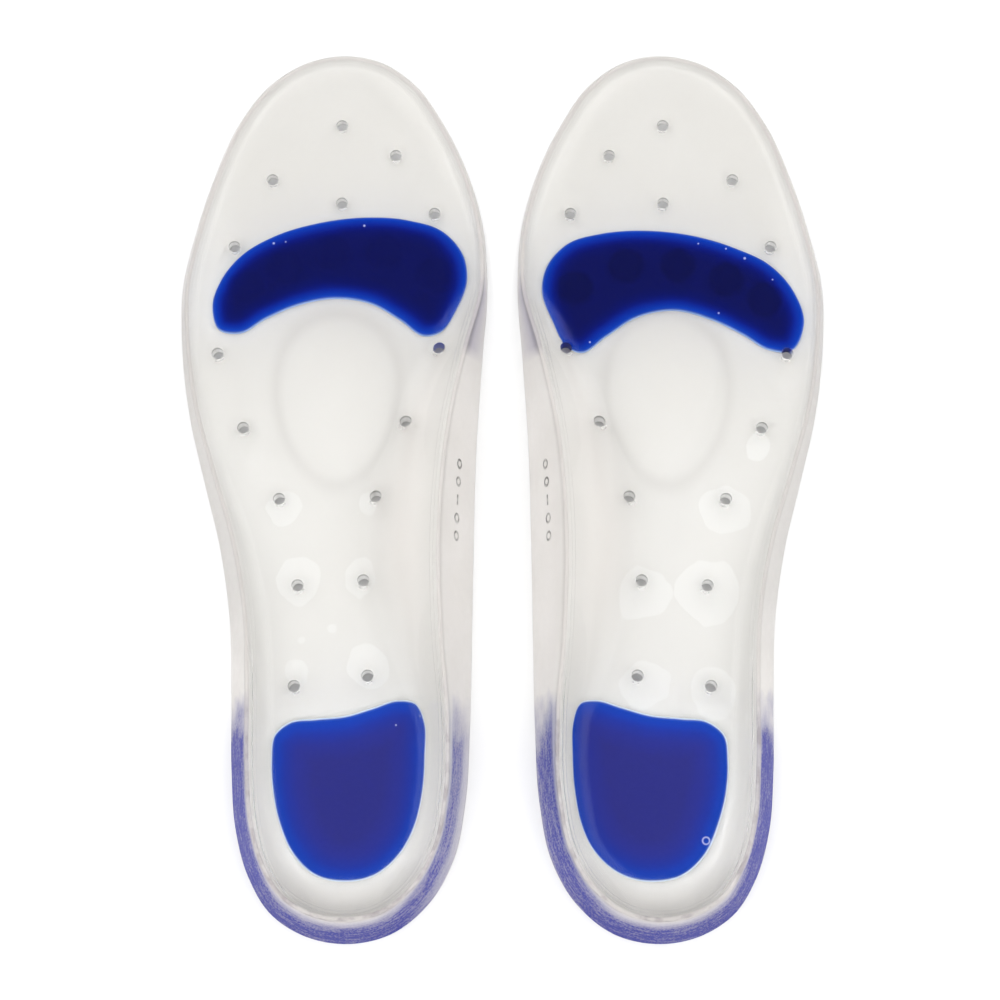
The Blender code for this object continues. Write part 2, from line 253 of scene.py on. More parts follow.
def nearest(points, loop):
    """Distance from each point to a closed loop, and where on the loop that is."""
    ahead = np.roll(loop, -1, axis=0)
    run = ahead - loop
    best = np.full(len(points), 1e9)
    where = np.zeros(len(points))
    for start in range(0, len(points), 2000):
        block = points[start:start + 2000]
        away = block[:, None, :] - loop[None, :, :]
        t = np.clip(np.sum(away * run, axis=2) / np.sum(run * run, axis=1), 0.0, 1.0)
        gap = np.hypot(*np.moveaxis(away - t[..., None] * run, 2, 0))
        i = np.argmin(gap, axis=1)
        rows = np.arange(len(block))
        best[start:start + 2000] = gap[rows, i]
        where[start:start + 2000] = i + t[rows, i]
    return best, where


def along_loop(values, where):
    """Values given at a closed loop's points, read between them."""
    i = np.floor(where).astype(int) % len(values)
    t = where - np.floor(where)
    return values[i] * (1 - t) + values[(i + 1) % len(values)] * t


def distance_to(points, centre):
    """Distance of each point from a centre."""
    return np.hypot(*(points - np.array(centre)).T)


def smoothstep(low, high, value):
    t = np.clip((value - low) / (high - low), 0.0, 1.0)
    return t * t * (3 - 2 * t)


def circle(centre, radius, sides=VENT_SIDES):
    angle = 2 * pi * np.arange(sides) / sides
    return np.array(centre) + radius * np.column_stack([np.cos(angle), np.sin(angle)])


def hex_grid(low, high, pitch):
    """Points of a triangular grid over a box."""
    rows = []
    for n, y in enumerate(np.arange(low[1], high[1], pitch * 0.866)):
        x = np.arange(low[0] + (n % 2) * pitch / 2, high[0], pitch)
        rows.append(np.column_stack([x, np.full_like(x, y)]))
    return np.vstack(rows)


def ringed_grid(loop, offsets, pitch, clearance):
    """Points in rings inside a loop, then an even grid over the rest."""
    rings = [loop + inward(loop) * offset for offset in offsets]
    grid = hex_grid(loop.min(axis=0), loop.max(axis=0), pitch)
    grid = grid[inside(grid, loop)]
    grid = grid[nearest(grid, loop)[0] > offsets[-1] + clearance]
    return np.vstack(rings + [grid])


def fill(outline, holes, points, seams=()):
    """Triangles over the inside of outline, clear of round holes, using the given points.
    Returns the flat points and the triangles. holes is a list of (centre, radius), and
    seams are closed loops that the triangles' edges follow."""
    coords = [outline]
    edges = [(i, (i + 1) % len(outline)) for i in range(len(outline))]
    start = len(outline)
    for seam in seams:
        coords.append(seam)
        edges += [(start + i, start + (i + 1) % len(seam)) for i in range(len(seam))]
        start += len(seam)
    for centre, radius in holes:
        coords.append(circle(centre, radius))
        edges += [(start + i, start + (i + 1) % VENT_SIDES) for i in range(VENT_SIDES)]
        start += VENT_SIDES
    coords.append(points)
    flat = [Vector(p) for p in np.vstack(coords).tolist()]
    verts, _, faces, _, _, _ = delaunay_2d_cdt(flat, edges, [], 0, 1e-6, True)
    verts = np.array([tuple(v) for v in verts])
    faces = np.array([tuple(f) for f in faces])
    middle = verts[faces].mean(axis=1)
    keep = inside(middle, outline)
    for centre, radius in holes:
        keep &= distance_to(middle, centre) > radius * 0.999
    return verts, faces[keep]


# ---------------------------------------------------------------- meshes

def place(side, points, shift=(0.0, 0.0)):
    """Table positions in millimetres to the frame's metres."""
    sign = -1.0 if side == "left" else 1.0
    moved = np.column_stack([
        sign * (points[:, 0] + shift[0]),
        points[:, 1] + shift[1] - LENGTH / 2,
        points[:, 2],
    ])
    return moved * MM


def mesh_object(name, points, faces, fields, materials, sharp, slots=None):
    """Closed, smooth-shaded object with point fields. One with slots has its seams welded."""
    mesh = bpy.data.meshes.new(name)
    mesh.from_pydata(points.tolist(), [], faces)
    for material in materials:
        mesh.materials.append(material)
    for label, values in fields.items():
        layer = mesh.attributes.new(label, "FLOAT", "POINT")
        layer.data.foreach_set("value", values.astype(np.float32))
    if slots is not None:
        mesh.polygons.foreach_set("material_index", slots)
    shape = bmesh.new()
    shape.from_mesh(mesh)
    if slots is not None:
        bmesh.ops.remove_doubles(shape, verts=shape.verts, dist=WELD_REACH)
    bmesh.ops.recalc_face_normals(shape, faces=shape.faces)
    shape.to_mesh(mesh)
    shape.free()
    mesh.shade_smooth()
    mesh.set_sharp_from_angle(angle=sharp)
    result = bpy.data.objects.new(name, mesh)
    bpy.context.scene.collection.objects.link(result)
    return result


class Shell:
    """Collects pieces of surface, to be welded into one closed mesh."""

    def __init__(self):
        self.points = []
        self.faces = []
        self.slots = []
        self.fields = {label: [] for label in BODY_FIELDS}
        self.count = 0

    def add(self, points, faces, slot, **given):
        self.points.append(points)
        for label, usual in BODY_FIELDS.items():
            values = given.get(label, usual)
            self.fields[label].append(np.broadcast_to(values, (len(points),)))
        self.faces += [tuple(int(i) + self.count for i in face) for face in faces]
        self.slots += [slot] * len(faces)
        self.count += len(points)

    def add_band(self, low, high, slot, heights=(0.0, 1.0)):
        n = len(low)
        faces = [(i, (i + 1) % n, n + (i + 1) % n, n + i) for i in range(n)]
        self.add(np.vstack([low, high]), faces, slot, height=np.repeat(heights, n))

    def object(self, name, side, materials):
        fields = {label: np.concatenate(values) for label, values in self.fields.items()}
        points = place(side, np.vstack(self.points))
        return mesh_object(name, points, self.faces, fields, materials, BODY_SHARP, self.slots)


def dome_share(points):
    """Distance out from the raised oval's centre, 1 at its edge."""
    v = (points[:, 1] - DOME_CENTRE[1]) / DOME_HALF_LENGTH
    u = (points[:, 0] - DOME_CENTRE[0]) / (DOME_HALF_WIDTH * (1.0 + DOME_EGG * v))
    return np.hypot(u, v)


def dome_outline(share, count=96):
    """Points round the raised oval at a share of its size."""
    angle = 2 * pi * np.arange(count) / count
    v = share * np.sin(angle)
    x = DOME_CENTRE[0] + share * np.cos(angle) * DOME_HALF_WIDTH * (1.0 + DOME_EGG * v)
    return np.column_stack([x, DOME_CENTRE[1] + v * DOME_HALF_LENGTH])


def dome(points):
    """Height of the raised oval above the footbed."""
    return DOME_HEIGHT * np.clip(1.0 - dome_share(points) ** 2, 0.0, 1.0) ** 1.1


def cove(share):
    """Height left at a share of the cove width: straight slope melting into the bed."""
    reach = np.log1p(np.exp((1.0 - share) / COVE_SOFTNESS))
    return reach / np.log1p(np.exp(1.0 / COVE_SOFTNESS))


def body_rings(loop):
    """Closed rings down the rim and wall, from the lip's crest to the sole's edge."""
    base, height, lean = loop[:, :2], loop[:, 2], loop[:, 3]
    normal = inward(base)

    def ring(inset, up):
        flat = base + normal * np.reshape(inset, (-1, 1))
        return np.column_stack([flat, np.broadcast_to(up, (len(base),))])

    rings = [ring(lean + inset, height - drop) for inset, drop in LIP]
    for up in np.linspace(WALL_TOP, 0.0, WALL_RINGS + 1)[:-1]:
        share = (1.0 - WALL_BOW) * up + WALL_BOW * up * up
        level = (height - LIP[-1][1]) * up + BASE_EDGE[0][1] * (1 - up)
        rings.append(ring(lean * share, level))
    return rings + [ring(inset, up) for inset, up in BASE_EDGE]


def footbed_height(points, crest, loop):
    """Height of the footbed: bed, cove up to the lip, raised oval, dip round each vent."""
    gap, where = nearest(points, crest)
    rim = along_loop(loop[:, 2] - LIP[0][1], where)
    width = along_loop(loop[:, 4], where)
    bed = smooth_profile(FOOTBED, points[:, 1])
    z = bed + (rim - bed) * cove(gap / width) + dome(points)
    for centre in VENTS:
        out = distance_to(points, centre) - VENT_RADIUS
        z = z - VENT_DIP * np.clip(1.0 - out / VENT_DIP_WIDTH, 0.0, 1.0) ** 2
    return z


def footbed_points(crest):
    """Points for the footbed's triangles, closer together at the rim, oval and vents."""
    spots = ringed_grid(crest, RING_OFFSETS, FOOTBED_PITCH, 1.3)
    spots = spots[np.abs(dome_share(spots) - 0.91) > 0.17]
    spots = np.vstack([spots] + [dome_outline(share) for share in DOME_SHARES])
    for centre in VENTS:
        spots = spots[distance_to(spots, centre) > VENT_CLEARANCE]
    for centre in VENTS:
        circles = [circle(centre, VENT_RADIUS + d) for d in VENT_OFFSETS]
        spots = np.vstack([spots] + circles)
    return spots


def gel_body(side, materials):
    """One clear moulding: footbed with vents, rounded rim, leaning wall, flat sole."""
    loop = rim_loop()
    height, width = loop[:, 2], loop[:, 4]
    rings = body_rings(loop)
    crest, edge = rings[0][:, :2], rings[-1][:, :2]
    holes = [(centre, VENT_RADIUS) for centre in VENTS]
    shell = Shell()

    flat, faces = fill(crest, holes, footbed_points(crest))
    top = np.column_stack([flat, footbed_height(flat, crest, loop)])
    gap, where = nearest(flat, crest)
    rise = cove(gap / along_loop(width, where))
    shell.add(top, faces, FOOTBED_SLOT, rim_mm=gap, rise=rise, oval=dome_share(flat))

    for low, high in zip(rings[1:], rings):
        heights = [np.mean(band[:, 2] / height) for band in (low, high)]
        shell.add_band(low, high, WALL_SLOT, heights)

    seams = [pad_loop(side, "forefoot", FOREFOOT_PADS[side]),
             pad_loop(side, "heel", HEEL_PADS[side])]
    flat, faces = fill(edge, holes, np.zeros((0, 2)), seams)
    middle = flat[faces].mean(axis=1)
    under_pad = inside(middle, seams[0]) | inside(middle, seams[1])
    level = np.column_stack([flat, np.zeros(len(flat))])
    shell.add(level, faces[~under_pad], SOLE_SLOT, height=0.0)
    shell.add(level, faces[under_pad], SKIN_SLOT, height=0.0)

    for centre in VENTS:
        ring = circle(centre, VENT_RADIUS)
        upper = np.column_stack([ring, footbed_height(ring, crest, loop)])
        lower = np.column_stack([ring, np.zeros(len(ring))])
        shell.add_band(lower, upper, VENT_SLOT)
    return shell.object(side + "_gel_body_look", side, materials)


def pad_loop(side, pad, outline):
    """A blue casting's outline on this foot, in table positions."""
    curve = closed_curve(outline, 30)
    return even_points(np.vstack([curve, curve[:1]]), 220) + np.array(SHIFTS[side][pad])


def pad_holes(loop, shift):
    """The vents that pass through a casting or cut its edge."""
    radius = VENT_RADIUS + PAD_HOLE_GAP
    holes = []
    for x, y in VENTS:
        centre = (x - shift[0], y - shift[1])
        spot = np.array([centre])
        if inside(spot, loop)[0] or nearest(spot, loop)[0][0] < radius:
            holes.append((centre, radius))
    return holes


def border(faces):
    """Edges that only one triangle has."""
    edges = {}
    for a, b, c in faces:
        for pair in ((a, b), (b, c), (c, a)):
            key = tuple(sorted(pair))
            edges[key] = edges.get(key, 0) + 1
    return [pair for pair, times in edges.items() if times == 1]


def blue_pad(side, pad, outline, thickness, discs, materials):
    """One blue casting: flat below, softly rounded edge, low round bosses above."""
    shift = SHIFTS[side][pad]
    loop = pad_loop(side, pad, outline) - np.array(shift)
    loop = loop - inward(loop) * PAD_SKIRT
    holes = pad_holes(loop, shift)
    flat, faces = fill(loop, holes, ringed_grid(loop, PAD_OFFSETS, PAD_PITCH, 0.7))

    gap = nearest(flat, loop)[0]
    for centre, radius in holes:
        cut = np.abs(distance_to(flat, centre) - radius)
        gap = np.minimum(gap, cut + PAD_CUT_INSET)
    disc = np.zeros(len(flat))
    for centre in discs:
        out = distance_to(flat, centre)
        disc = np.maximum(disc, 1.0 - smoothstep(DISC_RADIUS - 0.9, DISC_RADIUS, out))
    rounded = np.sqrt(1.0 - (1.0 - np.clip(gap / PAD_ROUND, 0.0, 1.0)) ** 2)
    share = PAD_EDGE_SHARE + (1.0 - PAD_EDGE_SHARE) * rounded
    z = PAD_FLOOR + (thickness - PAD_FLOOR) * share + DISC_HEIGHT * disc

    used = np.unique(faces)
    index = np.full(len(flat), -1)
    index[used] = np.arange(len(used))
    upper = index[faces].tolist()
    flat, z, gap, disc = flat[used], z[used], gap[used], disc[used]
    count = len(flat)
    points = np.vstack([
        np.column_stack([flat, z]),
        np.column_stack([flat, np.full(count, PAD_FLOOR)]),
    ])
    lower = [(a + count, c + count, b + count) for a, b, c in upper]
    sides = [(a, b, b + count, a + count) for a, b in border(upper)]
    fields = {"edge_mm": np.tile(gap, 2), "disc": np.tile(disc, 2)}
    return mesh_object(side + "_" + pad + "_pad_look", place(side, points, shift),
                       upper + lower + sides, fields, materials, PAD_SHARP)


# ---------------------------------------------------------------- materials

class Nodes:
    """Short way to add and join the nodes of a material or of the world."""

    def __init__(self, owner, shader, coordinates):
        owner.use_nodes = True
        self.owner = owner
        self.tree = owner.node_tree
        self.shader = self.tree.nodes[shader]
        self.place = self.add("ShaderNodeTexCoord").outputs[coordinates]

    def add(self, kind, settings=None, **inputs):
        node = self.tree.nodes.new(kind)
        for key, value in (settings or {}).items():
            setattr(node, key, value)
        for key, value in inputs.items():
            self.feed(node, key.replace("_", " "), value)
        return node

    def feed(self, node, key, value):
        """Join or set one socket, given by its name or its number."""
        socket = node.inputs[key]
        if isinstance(value, bpy.types.NodeSocket):
            self.tree.links.new(value, socket)
        else:
            socket.default_value = value

    def set(self, **values):
        for key, value in values.items():
            self.feed(self.shader, key.replace("_", " "), value)

    # Numbers

    def math(self, operation, a, b=0.0, clamp=False):
        node = self.add("ShaderNodeMath", {"operation": operation, "use_clamp": clamp})
        self.feed(node, 0, a)
        self.feed(node, 1, b)
        return node.outputs[0]

    def times(self, first, *others):
        for other in others:
            first = self.math("MULTIPLY", first, other)
        return first

    def gap(self, value, target):
        """How far a number is from target."""
        return self.math("ABSOLUTE", self.math("SUBTRACT", value, target))

    def spread(self, value, low, high, to_low, to_high):
        node = self.add("ShaderNodeMapRange", Value=value, From_Min=low, From_Max=high,
                        To_Min=to_low, To_Max=to_high)
        return node.outputs[0]

    def window(self, value, low, full, fade, high):
        """1 from full to fade, 0 below low and above high."""
        return self.times(self.spread(value, low, full, 0.0, 1.0),
                          self.spread(value, fade, high, 1.0, 0.0))

    def blend(self, factor, a, b):
        """Number between a and b."""
        node = self.add("ShaderNodeMix", {"data_type": "FLOAT"})
        self.feed(node, 0, factor)
        self.feed(node, 2, a)
        self.feed(node, 3, b)
        return node.outputs[0]

    def level(self, value, stops, reach):
        """Number read off a ramp that runs from 0 to reach."""
        share = self.math("DIVIDE", value, reach, clamp=True)
        colour = self.ramp(share, greys(stops))
        return self.add("ShaderNodeSeparateColor", Color=colour).outputs[0]

    def noise(self, scale, detail=2.0, rough=0.5, vector=None):
        node = self.add("ShaderNodeTexNoise", Scale=scale, Detail=detail, Roughness=rough,
                        Vector=vector or self.place)
        return node.outputs[0]

    def centred(self, noise, reach):
        """Noise moved to lie round 0 and scaled by reach."""
        return self.times(self.math("SUBTRACT", noise, 0.5), reach)

    def roughness(self, surface):
        """Number that drifts between a surface's lowest and highest roughness."""
        scale, detail, low, high = ROUGHNESS[surface]
        return self.spread(self.noise(scale, detail), 0.3, 0.7, low, high)

    # Colours

    def ramp(self, value, stops):
        node = self.add("ShaderNodeValToRGB", Fac=value)
        ramp = node.color_ramp
        while len(ramp.elements) < len(stops):
            ramp.elements.new(0.5)
        for element, (position, colour) in zip(ramp.elements, stops):
            element.position = position
            element.color = (*colour, 1.0)
        return node.outputs["Color"]

    def cloud(self, surface):
        """Colour that drifts between a surface's two tints."""
        scale, detail, dark, light = CLOUDS[surface]
        return self.ramp(self.noise(scale, detail), [(0.3, dark), (0.7, light)])

    def mix(self, factor, a, b, kind="MIX"):
        node = self.add("ShaderNodeMix", {"data_type": "RGBA", "blend_type": kind})
        self.feed(node, 0, factor)
        self.feed(node, 6, a)
        self.feed(node, 7, b)
        return node.outputs[2]

    def grey(self, value):
        return self.add("ShaderNodeCombineColor", Red=value, Green=value, Blue=value).outputs[0]

    def outside_only(self, colour):
        """Colour on faces seen from outside the gel, clear on those seen from inside it."""
        behind = self.add("ShaderNodeNewGeometry").outputs["Backfacing"]
        return self.mix(behind, colour, INSIDE_TONE)

    # Places

    def attribute(self, name):
        return self.add("ShaderNodeAttribute", {"attribute_name": name}).outputs["Fac"]

    def scaled(self, factors):
        """Position multiplied axis by axis."""
        node = self.add("ShaderNodeVectorMath", {"operation": "MULTIPLY"})
        self.feed(node, 0, self.place)
        self.feed(node, 1, factors)
        return node.outputs[0]

    def table_position(self):
        """Table position in millimetres: outward, forward, up."""
        whole = (1.0 / MM, 1.0 / MM, 1.0 / MM)
        across, along, up = self.add("ShaderNodeSeparateXYZ", Vector=self.scaled(whole)).outputs
        return self.math("ABSOLUTE", across), self.math("ADD", along, LENGTH / 2), up

    def distance(self, point, vector=None):
        node = self.add("ShaderNodeVectorMath", {"operation": "DISTANCE"})
        self.feed(node, 0, vector or self.place)
        self.feed(node, 1, point)
        return node.outputs["Value"]

    def flat_distance(self, point):
        """Distance seen from above."""
        return self.distance((point[0], point[1], 0.0), self.scaled((1.0, 1.0, 0.0)))

    # Relief

    def bump(self, height, distance, strength=1.0, before=None):
        node = self.add("ShaderNodeBump", Height=height, Distance=distance, Strength=strength)
        if before is not None:
            self.feed(node, "Normal", before)
        return node.outputs[0]

    def relief(self, surface, before=None):
        scale, detail, rough, depth, strength = RELIEF[surface]
        return self.bump(self.noise(scale, detail, rough), depth, strength, before)

    def ripples(self, value, lines):
        """Sum of fine ridges, each (position, half width)."""
        total = 0.0
        for position, half in lines:
            ridge = self.spread(self.gap(value, position), 0.0, half, 1.0, 0.0)
            total = self.math("ADD", total, ridge)
        return total

    def pips(self, forward, up):
        """Small moulded rings and a bar on the arch wall, 1 on a ridge."""
        flat = self.scaled((0.0, 1.0 / MM, 1.0 / MM))
        total = 0.0
        for along, height in PIPS:
            out = self.distance((0.0, along - LENGTH / 2, height), flat)
            ring = self.spread(self.gap(out, PIP_RADIUS), 0.2, 0.5, 1.0, 0.0)
            total = self.math("MAXIMUM", total, ring)
        run = self.math("SUBTRACT", self.gap(forward, PIP_BAR[0]), PIP_BAR_HALF[0])
        rise = self.math("SUBTRACT", self.gap(up, PIP_BAR[1]), PIP_BAR_HALF[1])
        bar = self.spread(self.math("MAXIMUM", run, rise), 0.0, 0.25, 1.0, 0.0)
        return self.math("MAXIMUM", total, bar)


def greys(stops):
    return [(at, (grey, grey, grey)) for at, grey in stops]


def table_point(side, x, y, z):
    """One table position in the frame's metres."""
    return tuple(place(side, np.array([[x, y, z]]))[0])


GEL_IOR = 1.41
WALL_HAZE = 0.45
SOLE_HAZE = 0.88
VENT_HAZE = 0.15
ABSORB_COLOUR = (0.45, 0.40, 0.32, 1.0)
ABSORB_DENSITY = 4.5

# Clouding of the clear gel: noise scale, detail, darker tint, lighter tint
CLOUDS = {
    "footbed": (28.0, 3.0, (0.975, 0.970, 0.955), (0.99, 0.988, 0.98)),
    "wall": (60.0, 4.0, (0.62, 0.595, 0.575), (0.67, 0.645, 0.63)),
    "vent": (220.0, 3.0, (0.88, 0.88, 0.875), (0.94, 0.94, 0.935)),
    "sole": (40.0, 3.0, (0.85, 0.845, 0.83), (0.87, 0.865, 0.85)),
    "skin": (40.0, 3.0, (0.96, 0.96, 0.95), (0.98, 0.98, 0.97)),
}
# Roughness of each surface: noise scale, detail, lowest, highest
ROUGHNESS = {
    "footbed": (140.0, 4.0, 0.03, 0.09),
    "wall": (400.0, 4.0, 0.4, 0.52),
    "vent": (300.0, 3.0, 0.3, 0.45),
    "sole": (300.0, 3.0, 0.08, 0.14),
    "skin": (300.0, 3.0, 0.08, 0.16),
    "blue": (260.0, 3.0, 0.35, 0.5),
}
# Relief of each surface: noise scale, detail, noise roughness, depth in metres, strength
RELIEF = {
    "footbed_wave": (45.0, 2.0, 0.5, 0.0004, 0.5),
    "footbed": (1400.0, 2.0, 0.5, 0.000003, 0.2),
    "wall": (1800.0, 3.0, 0.6, 0.00002, 0.5),
    "vent": (2200.0, 2.0, 0.5, 0.00002, 0.5),
    "sole": (900.0, 2.0, 0.5, 0.00002, 0.4),
    "skin": (900.0, 2.0, 0.5, 0.00002, 0.4),
    "blue": (700.0, 3.0, 0.5, 0.00001, 0.5),
}

# Local tints of the clear gel, most of them painted shade, painted light or the pads' blue
# painted where it shows through
FOOTBED_SHEEN = (0.35, 0.35, 0.35, 1.0)         # keeps the sky's mirror image faint
# Painted shade on the arch slope
ARCH_PAINTED_SHADE = (0.885, 0.86, 0.845, 1.0)
# Painted shade in a ring round the raised oval
OVAL_PAINTED_SHADE = (0.84, 0.83, 0.82, 1.0)
# Painted shade on the outer wall of the midfoot
MIDFOOT_PAINTED_SHADE = (0.47, 0.455, 0.445, 1.0)
# Heel pad's blue painted on the heel wall where it shows through
HEEL_PAINTED_BLUE = (0.010, 0.012, 0.23, 1.0)
# Forefoot pad's blue and painted shade on the wedge at the front of the arch wall
WEDGE_PAINTED_BLUE_SHADE = (0.23, 0.205, 0.31, 1.0)
# Painted shadow line under the lip of the wedge
WEDGE_PAINTED_SHADOW = (0.05, 0.04, 0.07, 1.0)
# Painted shade on the wall just under the lip
LIP_PAINTED_SHADE = (0.40, 0.375, 0.36, 1.0)
# Dark streaks along the lip round the heel
LIP_STREAK_TONE = (0.24, 0.21, 0.23, 1.0)
# Painted shade in the moulded pips
PIP_PAINTED_SHADE = (0.10, 0.095, 0.09, 1.0)
INSIDE_TONE = (0.97, 0.965, 0.955, 1.0)
# Painted shade in a ring round the top of each vent
VENT_RING_PAINTED_SHADE = (0.15, 0.147, 0.143, 1.0)
# Pads' blue painted on the vent walls where a pad runs into them, as a reflection
VENT_PAINTED_BLUE = (0.012, 0.022, 0.26, 1.0)
# Painted shade on the sole toward the front
SOLE_FRONT_PAINTED_SHADE = (0.76, 0.75, 0.73, 1.0)
# Painted light on the sole under the arch and along the outer forefoot edge
SOLE_PAINTED_LIGHT = (0.97, 0.965, 0.95, 1.0)
# Painted light on the sole under the heel
SOLE_HEEL_PAINTED_LIGHT = (0.97, 0.96, 0.945, 1.0)
# Painted shade on the sole at the back of the heel
SOLE_REAR_PAINTED_SHADE = (0.735, 0.72, 0.70, 1.0)
WET_TONE = (0.91, 0.91, 0.90, 1.0)

# Spans along the foot: where a painted shade, painted light or painted blue starts, is full,
# starts to fade, and ends
ARCH_SLOPE_SPAN = (70.0, 110.0, 160.0, 200.0)
MIDFOOT_SPAN = (80.0, 110.0, 185.0, 215.0)
WEDGE_SPAN = (181.0, 185.0, 204.0, 212.0)
VENT_PAINTED_BLUE_SPAN = (184.2, 185.4, 187.6, 188.0)
SOLE_ARCH_SPAN = (80.0, 100.0, 165.0, 185.0)
# The same for the painted shadow line under the lip of the wedge, by share of the wall's height
WEDGE_SHADOW_LINE_SPAN = (0.70, 0.93, 0.955, 0.985)
# Distances outward between which the wall counts as passing from arch side to outer side
OUTER_SIDE = (14.0, 30.0)
# Front edge of the heel pad's blue painted on the heel wall: fades between, and noise scale and
# reach that rag it
HEEL_FRONT = (59.0, 76.0)
HEEL_RAGGED = (90.0, 22.0)
REAR_SPAN = (6.0, 24.0)                         # the back of the heel, from rear to side

# Shade on the arch slope: share of its rise, strength
ARCH_SHADE = [(0.0, 0.0), (0.12, 0.5), (0.35, 1.0), (0.6, 0.75), (0.95, 0.0)]
# Shade round the raised oval: share of OVAL_REACH times its size, strength
OVAL_SHADE = [(0.0, 0.0), (0.66, 0.0), (0.75, 0.8), (0.79, 0.6), (0.88, 0.0)]
OVAL_REACH = 1.3
# Fine lines inside the rim: distance from the crest and half width, in millimetres
RIM_LINES = [(0.9, 0.25), (1.9, 0.3)]
RIM_LINE_DEPTH = 0.0002
# Painted shade in the upper ring of a vent: share of its height, strength
VENT_RING = [(0.0, 0.0), (0.55, 0.0), (0.85, 0.85), (1.0, 0.95)]

# Wet-out patches on the sole round the midfoot vents: x, y, radius
WET_PATCHES = {
    "left": [(67.6, 134.2, 5.0), (62.9, 111.9, 7.2), (43.8, 112.0, 5.8),
             (41.2, 84.8, 6.6), (63.9, 82.2, 3.4), (41.5, 135.8, 3.4),
             (53.0, 96.7, 0.2), (62.4, 92.8, 1.2)],
    "right": [(70.5, 133.5, 8.0), (43.0, 107.5, 8.5), (64.5, 108.0, 10.0),
              (43.5, 78.5, 7.0), (66.0, 76.0, 8.0), (80.5, 154.5, 4.0)],
}
# Heel pad's blue painted on the heel wall where it shows through, by height: share of
# BLUE_REACH, strength
BLUE_REACH = 16.0
OUTER_PAINTED_BLUE = [(0.0, 1.0), (0.7, 1.0), (0.86, 0.9), (0.96, 0.4), (1.0, 0.15)]
INNER_PAINTED_BLUE = {
    "left": [(0.0, 0.3), (0.3, 0.45), (0.5, 0.8), (0.9, 0.8), (1.0, 0.2)],
    "right": [(0.0, 0.7), (0.2, 0.88), (0.5, 0.94), (0.9, 0.9), (1.0, 0.2)],
}
REAR_PAINTED_BLUE = [(0.0, 1.0), (0.4, 0.97), (0.65, 0.85), (0.8, 0.5), (0.92, 0.2), (1.0, 0.0)]

# Moulded pips on the arch wall: y and height of each ring, then the bar between them
PIPS = [(146.5, 12.0), (140.8, 12.3), (129.2, 12.6), (123.6, 12.6)]
PIP_RADIUS = 1.25
PIP_DEPTH = 0.0004
PIP_REACH = 30.0            # no pips further outward than this
PIP_BAR = (135.0, 12.5)
PIP_BAR_HALF = (1.5, 0.3)

# Blue gel tones: distance in from the edge in millimetres, colour
FOREFOOT_TONES = [
    (0.0, (0.40, 0.56, 0.95)), (0.2, (0.12, 0.22, 0.62)), (0.45, (0.02, 0.065, 0.42)),
    (1.0, (0.004, 0.040, 0.40)), (2.5, (0.004, 0.020, 0.28)), (3.7, (0.004, 0.010, 0.18)),
    (5.3, (0.004, 0.007, 0.11)), (7.8, (0.005, 0.007, 0.092)),
]
HEEL_TONES = [
    (0.0, (0.80, 0.90, 1.0)), (0.4, (0.70, 0.82, 1.0)), (0.8, (0.04, 0.10, 0.46)),
    (1.4, (0.012, 0.055, 0.44)), (2.8, (0.014, 0.050, 0.42)), (4.9, (0.020, 0.040, 0.34)),
    (8.4, (0.028, 0.036, 0.27)), (13.5, (0.031, 0.034, 0.225)),
]
DISC_TONE = (0.004, 0.005, 0.045, 1.0)
DISC_DEPTH = {"left": 0.15, "right": 0.5}
BUBBLE_TONE = (0.55, 0.60, 0.85, 1.0)
HOLLOW_BUBBLE = 1.0         # a bubble with a larger radius shows as a ring
# Air bubbles in the blue castings: x, y, radius
BUBBLES = {
    "left_forefoot": [(72.9, 221.0, 0.45), (69.1, 221.5, 0.28), (44.1, 226.9, 0.45)],
    "left_heel": [(32.6, 66.1, 0.36), (24.8, 69.0, 0.32)],
    "right_forefoot": [(62.4, 220.9, 0.3), (71.2, 219.2, 0.36), (77.1, 216.0, 0.5),
                       (85.8, 208.9, 0.3), (68.5, 197.8, 0.36), (27.6, 188.2, 0.36)],
    "right_heel": [(61.8, 30.7, 1.35)],
}


def new_material(name):
    return Nodes(bpy.data.materials.new(name), "Principled BSDF", "Object")


def gel_base(name, haze=0.0):
    """Clear gel, before its surface finish."""
    n = new_material(name)
    n.set(Transmission_Weight=1.0 - haze, IOR=GEL_IOR, Metallic=0.0)
    volume = n.add("ShaderNodeVolumeAbsorption", Color=ABSORB_COLOUR, Density=ABSORB_DENSITY)
    n.tree.links.new(volume.outputs[0], n.tree.nodes["Material Output"].inputs["Volume"])
    return n


def footbed_gel(name):
    """Glossy upper face with the slight waviness of a poured gel, and painted shade on the arch
    slope and round the raised oval.
    """
    n = gel_base(name)
    out, forward, _ = n.table_position()
    colour = n.cloud("footbed")
    # Painted shade on the arch slope
    arch = n.times(n.window(forward, *ARCH_SLOPE_SPAN),
                   n.spread(out, 40.0, 50.0, 1.0, 0.0))
    slope = n.level(n.attribute("rise"), ARCH_SHADE, 1.0)
    colour = n.mix(n.times(arch, slope), colour, ARCH_PAINTED_SHADE)
    # Painted shade in a ring round the raised oval
    oval = n.level(n.attribute("oval"), OVAL_SHADE, OVAL_REACH)
    colour = n.mix(oval, colour, OVAL_PAINTED_SHADE)
    lines = n.ripples(n.attribute("rim_mm"), RIM_LINES)
    lined = n.bump(lines, RIM_LINE_DEPTH, 1.0, n.relief("footbed_wave"))
    n.set(Base_Color=colour, Specular_Tint=FOOTBED_SHEEN,
          Roughness=n.roughness("footbed"), Normal=n.relief("footbed", lined))
    return n.owner


